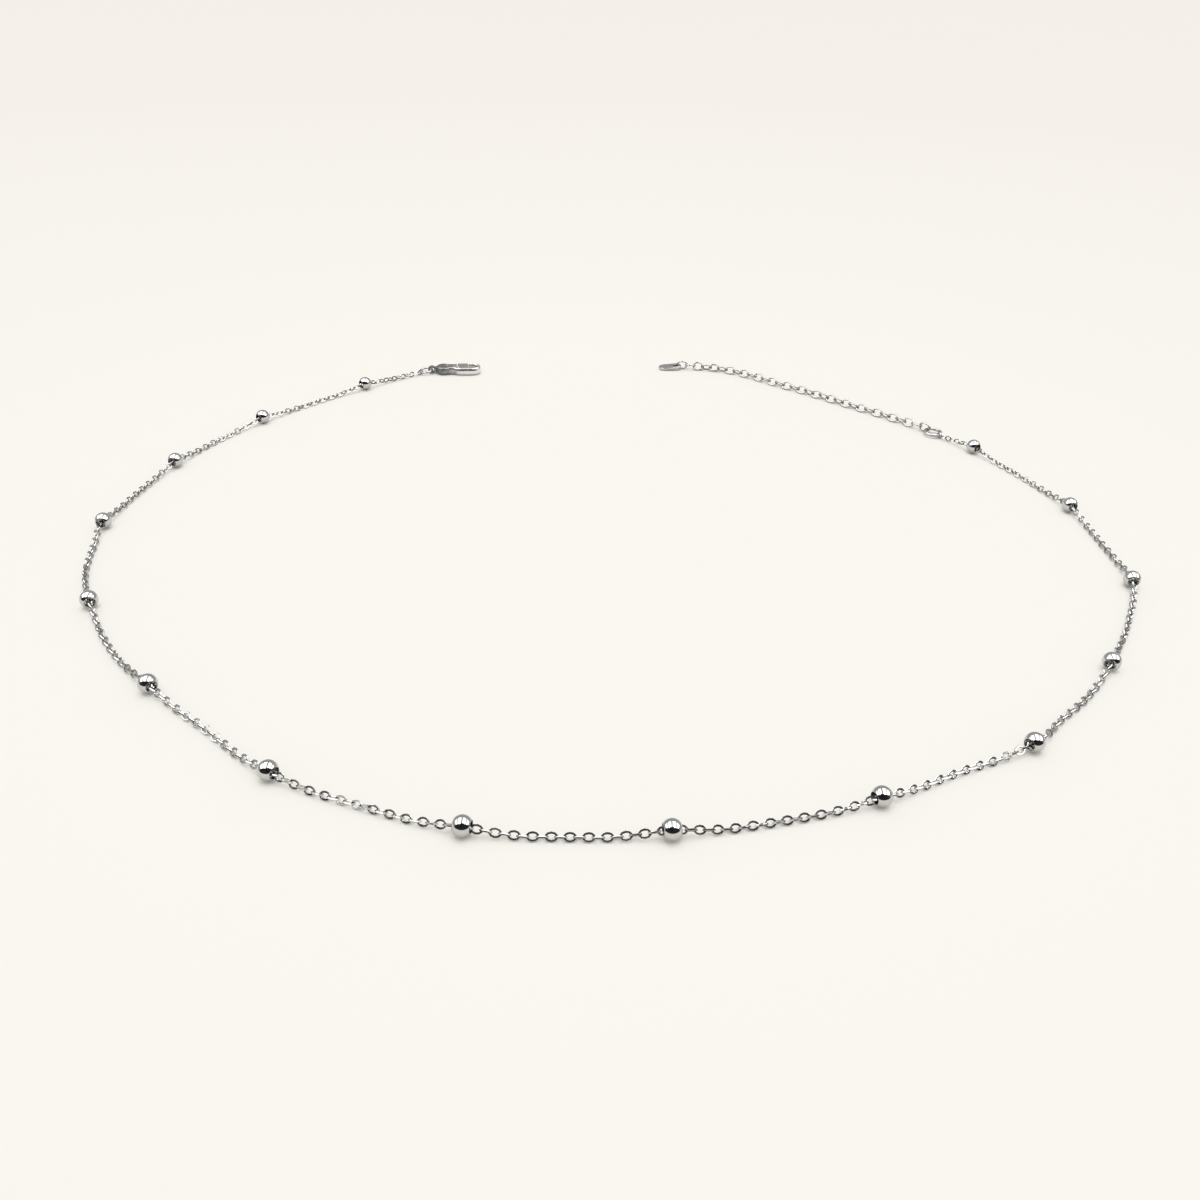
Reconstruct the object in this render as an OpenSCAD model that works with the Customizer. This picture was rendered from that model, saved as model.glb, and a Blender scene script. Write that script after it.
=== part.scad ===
// Necklace laid open on a surface: a fine cable chain with spaced round beads, a lobster clasp at one end
// and a short, coarser extension chain with a bare oval tag at the other.
// Millimetres. Z is up and 0 is the surface. Each chain is one swept tube of its outer width.

/* [Beads] */
// Diameter of a bead
bead_d = 3; // [2.7:0.1:3.4]
// Diameter of the hole through a bead
bead_hole_d = 1.7; // [1.55:0.05:1.8]

/* [Chains] */
// Width of the fine chain across its links
chain_w = 1.3; // [1:0.05:1.4]
// Width of the extension chain across its links
extension_w = 2; // [1.6:0.1:2.4]
// Distance from a bead's middle to where the chain has come down to the surface
drop_run = 6.5; // [4:0.5:7]

/* [Rings and tag] */
// Outside diameter of the ring between the fine chain and the extension
joining_ring_d = 4.2; // [3.6:0.1:4.6]
// Wire diameter of that ring
joining_ring_wire = 0.7; // [0.5:0.05:0.8]
// Wire diameter of the small ring in the clasp's eye
clasp_ring_wire = 0.5; // [0.4:0.05:0.55]
// Length of the end tag
tag_len = 5.7; // [4.5:0.1:6]
// Width of the end tag
tag_w = 2.9; // [2.4:0.1:3.2]
// Thickness of the end tag
tag_t = 0.6; // [0.4:0.05:0.8]
// Diameter of the tag's hole
tag_hole_d = 1.2; // [0.9:0.1:1.3]

/* [Clasp] */
// Thickness of the clasp
clasp_t = 1.9; // [1.8:0.05:2.2]
// Width of the clasp's claw
claw_w = 4.4; // [4.2:0.1:4.8]
// Width of metal round the claw's opening
claw_wall = 0.95; // [0.8:0.05:1.1]
// Thickness of the lever where it turns between the cheeks
lever_web = 0.7; // [0.5:0.05:0.8]
// Thickness of the lever's arm outside the cheeks
lever_arm_t = 1.5; // [1:0.1:1.7]
// Diameter of the pin that the lever turns on
pin_d = 0.7; // [0.5:0.05:0.8]

/* [Hidden] */
$fn = 48;

// Gap kept between two pieces that lie end to end
gap = 0.2;
// Clearance of the lever in its slot, the pin in the lever, and the pin in the cheeks
slot_play = 0.1;
lever_play = 0.05;
cheek_play = 0.02;

// Route of the fine chain, from the clasp's ring to the joining ring, on the surface.
// Columns: x, y, and the number of the bead whose middle is there, or 0 for bare chain
ROUTE = [
    [-46.7, 74.8, 0],
    [-52.5, 70, 0],
    [-58, 64.5, 1],
    [-67.5, 54.5, 0],
    [-76.5, 43, 2],
    [-83, 32, 0],
    [-88, 19.5, 3],
    [-91, 6.5, 0],
    [-92.5, -7, 4],
    [-91.5, -14, 0],
    [-89, -24.5, 0],
    [-84.5, -34, 5],
    [-76.5, -46.5, 0],
    [-67, -56.5, 6],
    [-56, -65.5, 0],
    [-44.5, -75, 7],
    [-31, -80.5, 0],
    [-17.5, -84.5, 8],
    [-4.5, -85, 0],
    [9, -84, 9],
    [23, -81, 0],
    [37, -76.5, 10],
    [49, -70, 0],
    [61, -64, 11],
    [67, -57.5, 0],
    [73, -51.5, 0],
    [79.5, -43, 12],
    [87.5, -29.5, 0],
    [92.5, -17, 13],
    [92.5, -2.5, 0],
    [91, 11.5, 14],
    [86, 25.5, 0],
    [79, 38.5, 15],
    [73.8, 45.5, 0]
];
// Route of the extension chain, from the joining ring to the end tag
EXTENSION_ROUTE = [
    [71, 49.2, 0],
    [67, 53, 0],
    [62, 57.5, 0],
    [57, 61.5, 0],
    [51, 66.5, 0],
    [45.5, 71, 0],
    [40, 75, 0],
    [35, 79, 0],
    [29.5, 82.5, 0],
    [24, 84, 0],
    [18, 84.5, 0]
];

// Middle of the joining ring, the way to its high side, and its heights over the wire of the fine link that
// passes under its low side and of the coarser link that passes under its high side
joining_ring_at = [72.4, 47.4];
joining_ring_way = 128;
joining_ring_low = 0.3;
joining_ring_high = 0.47;
// Middle and turn of the eye at the clasp's tail, and the way from the eye to the small ring
clasp_at = [-43.9, 76.5];
clasp_turn = 6;
ring_turn = 14;
// Middle of the tag's hole, the way that the tag lies, and how high the last link's wire lifts it at the hole
tag_at = [16.2, 84.4];
tag_turn = 4;
tag_lift = 0.47;

tube_sides = 8;
// Distance from a bead's middle to the chain rings at its two mouths
mouth_run = bead_d / 2 + gap;

function point(route, i) =
    i < 0 ? 2 * point(route, 0) - point(route, 1)
    : i >= len(route) ? 2 * point(route, len(route) - 1) - point(route, len(route) - 2)
    : [route[i][0], route[i][1]];

// Place on the smooth curve through a route's points: part f of the way from point i to the next
function on_curve(route, i, f) =
    let (a = point(route, i - 1), b = point(route, i), c = point(route, i + 1), d = point(route, i + 2))
    b + f * (c - a) / 2
    + f * f * (2 * a - 5 * b + 4 * c - d) / 2
    + f * f * f * (3 * b - a - 3 * c + d) / 2;

// Place on the curve at a distance past point i, or before it where the distance is negative
function beside(route, i, run) =
    let (toward = run < 0 ? i - 1 : i, span = norm(point(route, toward + 1) - point(route, toward)))
    run < 0 ? on_curve(route, toward, 1 + run / span) : on_curve(route, toward, run / span);

function heading(route, i) = let (way = point(route, i + 1) - point(route, i - 1)) way / norm(way);

// Middles of a tube's rings. A bead has two at its mouths, at its own height, and one on each side where
// the chain is down on the surface. A bare point has one
function ring_middles(route, low, high) = [
    for (i = [0 : len(route) - 1])
        each route[i][2] > 0
            ? [
                for (side = [-1, 1], near = side < 0 ? [false, true] : [true, false])
                    let (at = near
                        ? point(route, i) + side * mouth_run * heading(route, i)
                        : beside(route, i, side * drop_run))
                    [at.x, at.y, near ? high : low]
            ]
            : [[route[i][0], route[i][1], low]]
];

module tube(middles, width) {
    last = len(middles) - 1;
    // The tube lies on a flat, so a ring's first corner is half a step round from straight down
    function ring(j) =
        let (
            way = middles[min(j + 1, last)] - middles[max(j - 1, 0)],
            across = cross(way, [0, 0, 1]) / norm(cross(way, [0, 0, 1])),
            up = cross(across, way) / norm(way)
        )
        [
            for (k = [0 : tube_sides - 1])
                let (turn = (k + 0.5) * 360 / tube_sides)
                middles[j] + width / 2 * (sin(turn) * across - cos(turn) * up)
        ];
    walls = [
        for (j = [0 : last - 1], k = [0 : tube_sides - 1])
            let (
                a = j * tube_sides + k,
                b = j * tube_sides + (k + 1) % tube_sides,
                c = a + tube_sides,
                d = b + tube_sides
            )
            each [[a, b, d], [a, d, c]]
    ];
    near_end = [[for (k = [tube_sides - 1 : -1 : 0]) k]];
    far_end = [[for (k = [0 : tube_sides - 1]) last * tube_sides + k]];
    polyhedron(
        points = [for (j = [0 : last]) each ring(j)],
        faces = concat(walls, near_end, far_end)
    );
}

// Height of a tube's middle when one of its flats lies on the surface
function lying(width) = width / 2 * cos(180 / tube_sides);

module chain() {
    color("silver")
        tube(ring_middles(ROUTE, lying(chain_w), bead_d / 2), chain_w);
}

module extension_chain() {
    color("silver")
        tube(ring_middles(EXTENSION_ROUTE, lying(extension_w), 0), extension_w);
}

// Round bead with a through hole along the chain
module bead(number) {
    i = [for (k = [0 : len(ROUTE) - 1]) if (ROUTE[k][2] == number) k][0];
    way = heading(ROUTE, i);
    color("gainsboro")
        translate([ROUTE[i][0], ROUTE[i][1], bead_d / 2])
            rotate([0, 0, atan2(way.y, way.x)])
                rotate([0, 90, 0])
                    difference() {
                        sphere(d = bead_d);
                        cylinder(d = bead_hole_d, h = bead_d + 1, center = true);
                    }
}

module wire_ring(outside_d, wire_d) {
    rotate_extrude()
        translate([(outside_d - wire_d) / 2, 0])
            circle(d = wire_d);
}

module joining_ring() {
    middle = (joining_ring_low + joining_ring_high + joining_ring_wire) / 2;
    slope = asin((joining_ring_high - joining_ring_low) / (joining_ring_d - joining_ring_wire));
    color("silver")
        translate([joining_ring_at.x, joining_ring_at.y, middle])
            rotate([0, 0, joining_ring_way])
                rotate([0, -slope, 0])
                    wire_ring(joining_ring_d, joining_ring_wire);
}

// The small ring passes through the clasp's eye and slopes down to the chain's last link
clasp_ring_d = 3.5;
ring_reach = (clasp_ring_d - clasp_ring_wire) / 2;
ring_low = clasp_ring_wire / 2 + 0.3;
ring_slope = asin((clasp_t / 2 - ring_low) / (2 * ring_reach));

module clasp_ring() {
    color("silver")
        translate([clasp_at.x, clasp_at.y, clasp_t / 2])
            rotate([0, 0, ring_turn])
                rotate([0, -ring_slope, 0])
                    translate([-ring_reach, 0, 0])
                        wire_ring(clasp_ring_d, clasp_ring_wire);
}

// The clasp's own places, in its plan: x from the eye's middle to the claw's tip, y towards the lever
eye_d = clasp_t;
eye_hole_d = 1;
eye_w = 0.9;
lobe_x = 2.9;
lobe_d = 3.8;
waist_w = 2.9;
claw_x = 7;
claw_end_x = 12;
opening_x = 6.1;
pivot = [3.7, 0.45];
hub_d = 1.9;
slot_low = -0.65;
slot_x = 2.55;
arm_x = 6.25;
arm_reach = 5.3;
arm_low = claw_w / 2 - claw_wall + 0.05;
arm_high = claw_w / 2 - 0.1;
tab_high = 2.75;
tab_w = 0.9;
web_low = (clasp_t - lever_web) / 2;
arm_z = (clasp_t - lever_arm_t) / 2;

module place_clasp() {
    translate([clasp_at.x, clasp_at.y, 0])
        rotate([0, 0, clasp_turn])
            children();
}

// Long round-ended outline between two x places
module stadium(from_x, to_x, width) {
    translate([from_x + width / 2, -width / 2])
        square([to_x - from_x - width, width]);
    for (x = [from_x + width / 2, to_x - width / 2])
        translate([x, 0])
            circle(d = width);
}

module clasp_plan() {
    difference() {
        union() {
            translate([lobe_x, 0])
                circle(d = lobe_d);
            translate([lobe_x, -waist_w / 2])
                square([claw_x - lobe_x, waist_w]);
            stadium(claw_x - claw_w / 2, claw_end_x, claw_w);
        }
        stadium(opening_x, claw_end_x - claw_wall, claw_w - 2 * claw_wall);
        // Room for the lever's arm, between the cheeks and the claw's tip, which is rounded about the pivot
        intersection() {
            translate([opening_x, -0.6])
                square([claw_end_x - opening_x, claw_w]);
            translate(pivot)
                circle(r = arm_reach + slot_play);
        }
    }
}

module clasp_body() {
    color("silver")
        place_clasp()
            difference() {
                union() {
                    linear_extrude(clasp_t)
                        clasp_plan();
                    translate([0, 0, clasp_t / 2])
                        rotate([90, 0, 0])
                            cylinder(d = eye_d, h = eye_w, center = true);
                    translate([0, -eye_w / 2, 0.25])
                        cube([lobe_x, eye_w, clasp_t - 0.5]);
                }
                translate([0, 0, clasp_t / 2])
                    rotate([90, 0, 0])
                        cylinder(d = eye_hole_d, h = eye_w + 1, center = true);
                // Slot that the lever turns in, between the cheeks
                translate([slot_x, slot_low, web_low - slot_play])
                    cube([opening_x + 0.3 - slot_x, claw_w, lever_web + 2 * slot_play]);
                translate([pivot.x, pivot.y, -1])
                    cylinder(d = pin_d + 2 * cheek_play, h = clasp_t + 2);
            }
}

module clasp_lever() {
    color("silver")
        place_clasp()
            difference() {
                union() {
                    translate([pivot.x, pivot.y, web_low])
                        cylinder(d = hub_d, h = lever_web);
                    // Web from the hub to the arm
                    translate([0, 0, web_low])
                        linear_extrude(lever_web)
                            polygon([
                                [pivot.x, pivot.y + hub_d / 2],
                                [pivot.x + 0.3, pivot.y - hub_d / 2 + 0.1],
                                [arm_x + 0.3, arm_low],
                                [arm_x + 0.3, arm_high]
                            ]);
                    // Arm that closes on the claw's tip, its end rounded about the pivot
                    translate([0, 0, arm_z])
                        linear_extrude(lever_arm_t)
                            intersection() {
                                translate([arm_x, arm_low])
                                    square([arm_reach, arm_high - arm_low]);
                                translate(pivot)
                                    circle(r = arm_reach);
                            }
                    // Thumb tab
                    translate([0, 0, web_low])
                        linear_extrude(lever_web) {
                            translate([pivot.x - tab_w / 2, pivot.y])
                                square([tab_w, tab_high - pivot.y - tab_w / 2]);
                            translate([pivot.x, tab_high - tab_w / 2])
                                circle(d = tab_w);
                        }
                }
                translate([pivot.x, pivot.y, -1])
                    cylinder(d = pin_d + 2 * lever_play, h = clasp_t + 2);
            }
}

module clasp_pin() {
    color("gainsboro")
        place_clasp()
            translate([pivot.x, pivot.y, 0])
                cylinder(d = pin_d, h = clasp_t);
}

// Flat oval, bare on both sides, with the extension's last link through its hole. Its far end is on the
// surface
module end_tag() {
    hole_x = tag_w / 2;
    far_x = hole_x - tag_len;
    slope = asin(tag_lift / (tag_hole_d / 2 - far_x));
    color("silver")
        translate([tag_at.x, tag_at.y, 0])
            rotate([0, 0, tag_turn])
                translate([far_x, 0, 0])
                    rotate([0, -slope, 0])
                        translate([-far_x, 0, 0])
                            linear_extrude(tag_t)
                                difference() {
                                    stadium(far_x, hole_x, tag_w);
                                    circle(d = tag_hole_d);
                                }
}

chain();
bead(1);  // bead_01
bead(2);  // bead_02
bead(3);  // bead_03
bead(4);  // bead_04
bead(5);  // bead_05
bead(6);  // bead_06
bead(7);  // bead_07
bead(8);  // bead_08
bead(9);  // bead_09
bead(10);  // bead_10
bead(11);  // bead_11
bead(12);  // bead_12
bead(13);  // bead_13
bead(14);  // bead_14
bead(15);  // bead_15
clasp_ring();
clasp_body();
clasp_lever();
clasp_pin();
joining_ring();
extension_chain();
end_tag();
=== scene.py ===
"""Studio scene of a fine chain necklace with spaced round beads, laid open.

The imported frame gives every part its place. This add-on makes what the frame leaves out: the links of the
two chains, the rounded clasp with its lever, the rings, the tag, the polished metal, the pale surface and
the light.
"""

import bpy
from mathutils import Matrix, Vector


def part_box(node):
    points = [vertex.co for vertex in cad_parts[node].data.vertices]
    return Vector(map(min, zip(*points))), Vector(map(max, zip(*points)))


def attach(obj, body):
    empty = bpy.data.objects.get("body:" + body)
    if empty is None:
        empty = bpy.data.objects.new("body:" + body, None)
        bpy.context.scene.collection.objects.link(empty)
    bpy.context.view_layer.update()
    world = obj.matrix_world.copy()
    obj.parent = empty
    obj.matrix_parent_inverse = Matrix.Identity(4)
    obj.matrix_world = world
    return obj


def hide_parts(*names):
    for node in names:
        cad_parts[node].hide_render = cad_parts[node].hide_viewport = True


bl_info = {
    "name": "Beaded Chain Necklace",
    "version": (1, 0, 0),
    "blender": (4, 5, 0),
    "location": "3D View > Sidebar > Necklace",
    "description": "Makes a laid-open necklace of fine links and beads, and the surface that it lies on",
    "category": "Add Mesh",
}

import math
import random
from bisect import bisect

import bmesh
import bpy
from bpy.props import FloatProperty, FloatVectorProperty, IntProperty, PointerProperty
from mathutils import Matrix, Vector

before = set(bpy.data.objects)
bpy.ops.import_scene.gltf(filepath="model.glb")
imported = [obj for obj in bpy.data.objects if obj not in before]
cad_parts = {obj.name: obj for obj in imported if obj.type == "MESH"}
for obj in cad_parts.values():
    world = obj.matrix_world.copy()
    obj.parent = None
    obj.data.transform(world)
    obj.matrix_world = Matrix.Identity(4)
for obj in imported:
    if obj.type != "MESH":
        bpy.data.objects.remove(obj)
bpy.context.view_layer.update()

MM = 0.001

# Route of the fine chain on the surface, from the clasp's ring to the joining ring, in metres.
# Columns: x, y, the number of the bead whose middle is there, or 0 for bare chain, and how far the chain has
# twisted there, in degrees. The end links stand upright in their rings
ROUTE = (
    (-0.0467, 0.0748, 0, 45),
    (-0.0525, 0.0700, 0, 32),
    (-0.0580, 0.0645, 1, 20),
    (-0.0675, 0.0545, 0, 4),
    (-0.0765, 0.0430, 2, -9),
    (-0.0830, 0.0320, 0, -3),
    (-0.0880, 0.0195, 3, 6),
    (-0.0910, 0.0065, 0, 18),
    (-0.0925, -0.0070, 4, 12),
    (-0.0915, -0.0140, 0, 2),
    (-0.0890, -0.0245, 0, -10),
    (-0.0845, -0.0340, 5, -8),
    (-0.0765, -0.0465, 0, 3),
    (-0.0670, -0.0565, 6, 12),
    (-0.0560, -0.0655, 0, -6),
    (-0.0445, -0.0750, 7, 10),
    (-0.0310, -0.0805, 0, 24),
    (-0.0175, -0.0845, 8, 4),
    (-0.0045, -0.0850, 0, 5),
    (0.0090, -0.0840, 9, -6),
    (0.0230, -0.0810, 0, 8),
    (0.0370, -0.0765, 10, 9),
    (0.0490, -0.0700, 0, 21),
    (0.0610, -0.0640, 11, -12),
    (0.0670, -0.0575, 0, 5),
    (0.0730, -0.0515, 0, 0),
    (0.0795, -0.0430, 12, -9),
    (0.0875, -0.0295, 0, 3),
    (0.0925, -0.0170, 13, 12),
    (0.0925, -0.0025, 0, 0),
    (0.0910, 0.0115, 14, -11),
    (0.0860, 0.0255, 0, 5),
    (0.0790, 0.0385, 15, 16),
    (0.0738, 0.0455, 0, 45),
)
# Route of the extension chain, from the joining ring to the end tag
EXTENSION_ROUTE = (
    (0.0710, 0.0492, 0, 45),
    (0.0670, 0.0530, 0, 6),
    (0.0620, 0.0575, 0, 2),
    (0.0570, 0.0615, 0, -1),
    (0.0510, 0.0665, 0, -4),
    (0.0455, 0.0710, 0, 2),
    (0.0400, 0.0750, 0, 6),
    (0.0350, 0.0790, 0, 9),
    (0.0295, 0.0825, 0, 0),
    (0.0240, 0.0840, 0, -6),
    (0.0180, 0.0845, 0, 45),
)
# Where some links of each chain lie: the link's number, and the distance of its middle along the route.
# The first and last ones hold on to the rings and the tag
FINE_STOPS = ((0, -0.000055), (180, 0.21373), (354, 0.41927))
EXTENSION_STOPS = ((0, 0.000137), (9, 0.018587), (32, 0.0652))

BEAD_COUNT = 15

# A link leans this far to one side of upright and the next one to the other, in degrees
LEAN = 45
# Spread of the links' small random turns, about the chain's run and sideways, in degrees
ROLL_SPREAD, SWAY_SPREAD = 2.5, 1.5
# How steeply the chain leaves a bead: 1 is a straight slope
SAG = 1.3

# Pieces at the chains' ends: the middle of an eye, a ring or a hole, in metres, the way in which its piece is
# turned on the surface, and how far it is tilted from the surface, in degrees
CLASP_EYE = (-0.0439, 0.0765, 0.00095)
CLASP_TURN = 6
CLASP_RING_TURN, CLASP_RING_TILT = 14, 7.66
JOINING_RING = (0.0724, 0.0474, 0.000735)
JOINING_RING_TURN, JOINING_RING_TILT = 128, 2.78
TAG_HOLE = (0.0162, 0.0844, 0)
TAG_TURN, TAG_TILT = 4, 5.56
# How far round the joining ring its seam is, in degrees
SEAM_TURN = 65

# Plan of the clasp, in millimetres: x runs from its eye to the claw's tip, and y towards the lever
PIVOT = (3.7, 0.45)
LOBE_X, LOBE_WIDTH = (1, 4.8), 3.8
WAIST_X, WAIST_WIDTH = (2.6, 6.9), 2.9
NECK_X, NECK_INSET = (0.3, 2.9), 0.25
EYE_WIDTH, EYE_HOLE = 0.9, 1
CLAW_X, OPENING_X, TIP_X = 4.8, 6.1, 12
SLOT_X, SLOT_Y, SLOT_Z = (2.55, 6.4), -0.65, (0.5, 1.4)
# The claw's bend is cut off here, beside the waist on the lever's side
BEND_CUT_X, BEND_CUT_Y = (4.7, 6.6), 1.4
# The claw's bar is this much thinner than the waist, so that their tops don't coincide
BAR_INSET = 0.08
BAR_SIDES = 16
# Clearance round the pin
PIN_PLAY = 0.02
# The lever's arm has room this far from the pivot, and down to this y
ARM_ROOM, ARM_ROOM_Y = 5.4, -0.6
# The clasp is dull up to here, and rubbed bright from the end of the run after it
DULL_X, FADE_RUN = 3.85, 3

# How a bright exposure lifts light tones, as shares of the surface's own tone: before and after
LIGHT_TONES = ((0.3, 0.3), (0.45, 0.45), (0.6, 0.66), (0.7, 0.79), (0.8, 0.89), (0.9, 0.955), (1, 1))
# The surface's red, green and blue in the picture, which the exposure leaves as they are
SURFACE_TONE = (0.956, 0.939, 0.871)


def length_setting(name, description, millimetres):
    """A length setting, given in millimetres and kept in metres."""
    return FloatProperty(
        name=name, description=description, default=millimetres * MM, min=0, unit="LENGTH", precision=5
    )


def colour_setting(name, description, red, green, blue):
    return FloatVectorProperty(
        name=name, description=description, default=(red, green, blue), min=0, max=1, subtype="COLOR"
    )


def share_setting(name, description, default):
    return FloatProperty(name=name, description=description, default=default, min=0, max=1, subtype="FACTOR")


class FineChainSettings(bpy.types.PropertyGroup):
    link_length: length_setting("Link length", "Outside length of a link", 1.84)
    link_width: length_setting("Link width", "Outside width of a link", 1.4)
    wire: length_setting("Wire", "Diameter of the links' wire", 0.325)
    bead_height: length_setting("Height in a bead", "Height of the chain's middle inside a bead's hole", 1.3)
    mouth: length_setting(
        "Bead mouth", "Distance from a bead's middle to where the chain starts to drop", 1.25
    )
    drop: length_setting(
        "Drop", "Distance from a bead's middle to where the chain is down on the surface", 8
    )
    seed: IntProperty(name="Seed", description="Start of the links' small random turns", default=11)


class ExtensionSettings(bpy.types.PropertyGroup):
    link_length: length_setting("Link length", "Outside length of a link", 2.95)
    link_width: length_setting("Link width", "Outside width of a link", 2.2)
    wire: length_setting("Wire", "Diameter of the links' wire", 0.45)
    seed: IntProperty(name="Seed", description="Start of the links' small random turns", default=5)


class BeadSettings(bpy.types.PropertyGroup):
    hole: length_setting("Hole", "Diameter of the hole through a bead", 1.7)
    lip: length_setting("Lip", "Width of the rounding at the hole's edge", 0.16)


class ClaspSettings(bpy.types.PropertyGroup):
    thickness: length_setting("Thickness", "Thickness of the clasp", 1.9)
    claw_width: length_setting("Claw width", "Outside width of the claw", 4.4)
    wall: length_setting("Wall", "Width of metal round the claw's opening", 0.95)
    pin: length_setting("Pin", "Diameter of the pin that the lever turns on", 0.7)
    grain: length_setting("Grain", "Size of the cells that the cast shapes are rounded with", 0.065)


class RingSettings(bpy.types.PropertyGroup):
    clasp_ring: length_setting("Clasp ring", "Outside diameter of the small ring in the clasp's eye", 3.5)
    clasp_ring_wire: length_setting("Clasp ring wire", "Wire diameter of that ring", 0.5)
    joining_ring: length_setting("Joining ring", "Outside diameter of the ring between the two chains", 4.2)
    joining_ring_wire: length_setting("Joining ring wire", "Wire diameter of that ring", 0.7)
    seam: length_setting("Seam", "Width of the closed cut in the joining ring", 0.05)


class TagSettings(bpy.types.PropertyGroup):
    length: length_setting("Length", "Length of the tag", 5.7)
    width: length_setting("Width", "Width of the tag", 2.89)
    thickness: length_setting("Thickness", "Thickness of the tag", 0.6)
    hole: length_setting("Hole", "Diameter of the tag's hole", 1.2)
    edge: length_setting("Edge", "Width of the rounding along the tag's edges", 0.16)


class FinishSettings(bpy.types.PropertyGroup):
    silver: colour_setting("Silver", "Colour of the polished beads, rings and tag", 0.58, 0.58, 0.575)
    links: colour_setting("Links", "Colour of the two chains' links", 0.57, 0.57, 0.56)
    cast: colour_setting(
        "Cast metal", "Colour of the clasp's claw, where it is rubbed bright", 0.74, 0.74, 0.725
    )
    # Colour of tarnish, and of painted shade in holes, crevices and where links meet
    tarnish: colour_setting("Tarnish", "Colour of the metal where polishing misses it", 0.15, 0.152, 0.14)
    polish: share_setting("Polish", "Roughness of the beads", 0.05)
    surface: colour_setting("Surface", "Colour of the surface below", 0.92, 0.91, 0.875)


class StageSettings(bpy.types.PropertyGroup):
    place: FloatVectorProperty(
        name="Camera place", description="Where the camera stands", default=(-0.001, -0.1925, 0.1025),
        unit="LENGTH", subtype="TRANSLATION", precision=4,
    )
    down: FloatProperty(
        name="Camera tilt", description="How far the camera looks down", default=math.radians(31.78),
        unit="ROTATION",
    )
    roll: FloatProperty(
        name="Camera roll", description="How far the camera is turned about its view", unit="ROTATION",
        default=math.radians(1.74),
    )
    lens: FloatProperty(name="Lens", description="Focal length of the camera in mm", default=34.5, min=1)
    sky: FloatProperty(name="Sky", description="Strength of the even light from all round", default=0.894)
    window: FloatProperty(name="Window", description="Strength of the broad light from above", default=0.5)


SETTINGS = (
    ("necklace_chain", FineChainSettings),
    ("necklace_extension", ExtensionSettings),
    ("necklace_beads", BeadSettings),
    ("necklace_clasp", ClaspSettings),
    ("necklace_rings", RingSettings),
    ("necklace_tag", TagSettings),
    ("necklace_finish", FinishSettings),
    ("necklace_stage", StageSettings),
)


# Routes and places


class Route:
    """Smooth curve through a route's points, read by the distance along it."""

    STEPS = 40

    def __init__(self, points):
        flat = [Vector((x, y, 0)) for x, y, _, _ in points]
        ends = [2 * flat[0] - flat[1], *flat, 2 * flat[-1] - flat[-2]]
        self.places = [flat[0]]
        self.distances = [0.0]
        self.marks = [0.0]
        for a, b, c, d in zip(ends, ends[1:], ends[2:], ends[3:]):
            for step in range(1, self.STEPS + 1):
                f = step / self.STEPS
                place = b + f * (c - a) / 2 + f**2 * (2 * a - 5 * b + 4 * c - d) / 2
                place += f**3 * (3 * b - a - 3 * c + d) / 2
                self.distances.append(self.distances[-1] + (place - self.places[-1]).length)
                self.places.append(place)
            self.marks.append(self.distances[-1])
        self.beads = [mark for mark, point in zip(self.marks, points) if point[2]]
        self.twists = [(mark, point[3]) for mark, point in zip(self.marks, points)]

    def at(self, distance):
        """Place at a distance along the route, which runs on straight past both ends."""
        i = min(max(bisect(self.distances, distance), 1), len(self.distances) - 1)
        near, far = self.places[i - 1], self.places[i]
        return near + (far - near) * (distance - self.distances[i - 1]) / (far - near).length

    def twist_at(self, distance):
        return between(self.twists, min(max(distance, 0), self.marks[-1]))


def between(table, x):
    """Reads a table of (x, value) rows, on straight lines between the rows."""
    for (x0, value0), (x1, value1) in zip(table, table[1:]):
        if x <= x1:
            break
    return value0 + (value1 - value0) * (x - x0) / (x1 - x0)


def turn(degrees, axis):
    return Matrix.Rotation(math.radians(degrees), 4, axis)


def clasp_place():
    """Place of the clasp's plan: x from its eye to the claw's tip, y towards the lever."""
    return Matrix.Translation((*CLASP_EYE[:2], 0)) @ turn(CLASP_TURN, "Z")


# Shapes, in millimetres until they are put in place


def ring_at(shape, place, sides, across, tall):
    """Adds an oval ring of corners, flat on top, in the plane across a place's z axis. Returns its edges."""
    flat_top = turn(-90 - 180 / sides, "Z")
    corners = bmesh.ops.create_circle(shape, segments=sides, radius=1, matrix=flat_top)["verts"]
    grow = Matrix.Diagonal((tall / 2, across / 2, 1, 1))
    bmesh.ops.transform(shape, matrix=place @ grow, verts=corners)
    return list({edge for corner in corners for edge in corner.link_edges})


def closed_wire(shape, middles, sides, across, tall):
    """Adds a closed loop of wire through the middles, which lie flat."""
    edges = []
    for i, middle in enumerate(middles):
        way = (middles[(i + 1) % len(middles)] - middles[i - 1]).normalized()
        side = Vector((0, 0, 1)).cross(way)
        facing = Matrix((Vector((0, 0, 1)), side, way)).transposed().to_4x4()
        edges += ring_at(shape, Matrix.Translation(middle) @ facing, sides, across, tall)
    bmesh.ops.bridge_loops(shape, edges=edges, use_cyclic=True)
    bmesh.ops.recalc_face_normals(shape, faces=shape.faces)


def oval(count, across_x, across_y):
    """Middles of a wire along an oval, from its two diameters."""
    turns = [math.tau * (i + 0.5) / count for i in range(count)]
    return [Vector((across_x / 2 * math.cos(t), across_y / 2 * math.sin(t), 0)) for t in turns]


def note_corners(shape, darkness):
    """Notes on every corner how dark the metal is there, from a function of its place."""
    layer = shape.verts.layers.float.new("tarnish")
    for corner in shape.verts:
        corner[layer] = min(1, max(0, darkness(corner.co)))


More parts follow.
